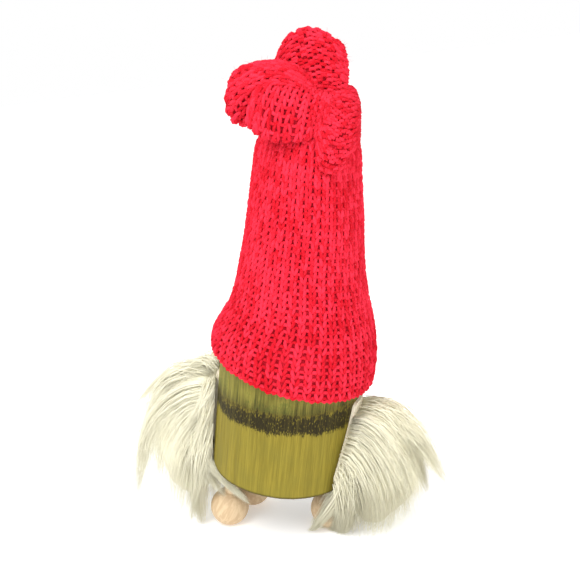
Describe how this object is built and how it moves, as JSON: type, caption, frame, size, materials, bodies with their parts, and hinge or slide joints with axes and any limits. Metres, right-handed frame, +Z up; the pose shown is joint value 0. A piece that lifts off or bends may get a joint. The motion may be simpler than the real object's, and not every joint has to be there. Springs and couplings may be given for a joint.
{
  "type": "gnome figurine",
  "caption": "Leaning log gnome on wooden ball feet, with fur beard and hair and a tall rib-knitted hat that lifts off, its end tied into a frill.",
  "frame": {"origin": "on the floor, under the middle of the object's extent, with the feet on Z = 0", "axes": "+Z up, the gnome faces -Y and leans back towards +Y, and +X is its left"},
  "size_m": [0.0886, 0.1801, 0.2704],
  "materials": {
    "painted_log": "matte olive paint rubbed into the grain, with a dark brown band",
    "bare_wood": "bare sanded",
    "hide": "raw suede back",
    "fur": "long silky pile",
    "knit": "one by one rib knit, slightly fuzzy",
    "tie_yarn": "plied yarn",
    "wadding": "loose fibre filling"
  },
  "bodies": {
    "figure": {"log_body": "painted_log", "foot_ball_left": "bare_wood", "foot_ball_right": "bare_wood", "foot_ball_rear": "bare_wood", "foot_dowel_left": "bare_wood", "foot_dowel_right": "bare_wood", "foot_dowel_rear": "bare_wood", "nose_ball": "bare_wood", "nose_dowel": "bare_wood", "beard_hide": "hide", "hair_hide": "hide", "beard_fur": "fur", "hair_fur": "fur"},
    "hat": {"hat_tube": "knit", "hat_frill": "knit", "hat_tie": "tie_yarn", "hat_stuffing": "wadding"}
  },
  "joints": [
    {"name": "hat_lift", "type": "slide", "parent": "figure", "child": "hat", "axis": [0, 0.2419, 0.9703], "range_m": [0, 0.06]}
  ]
}
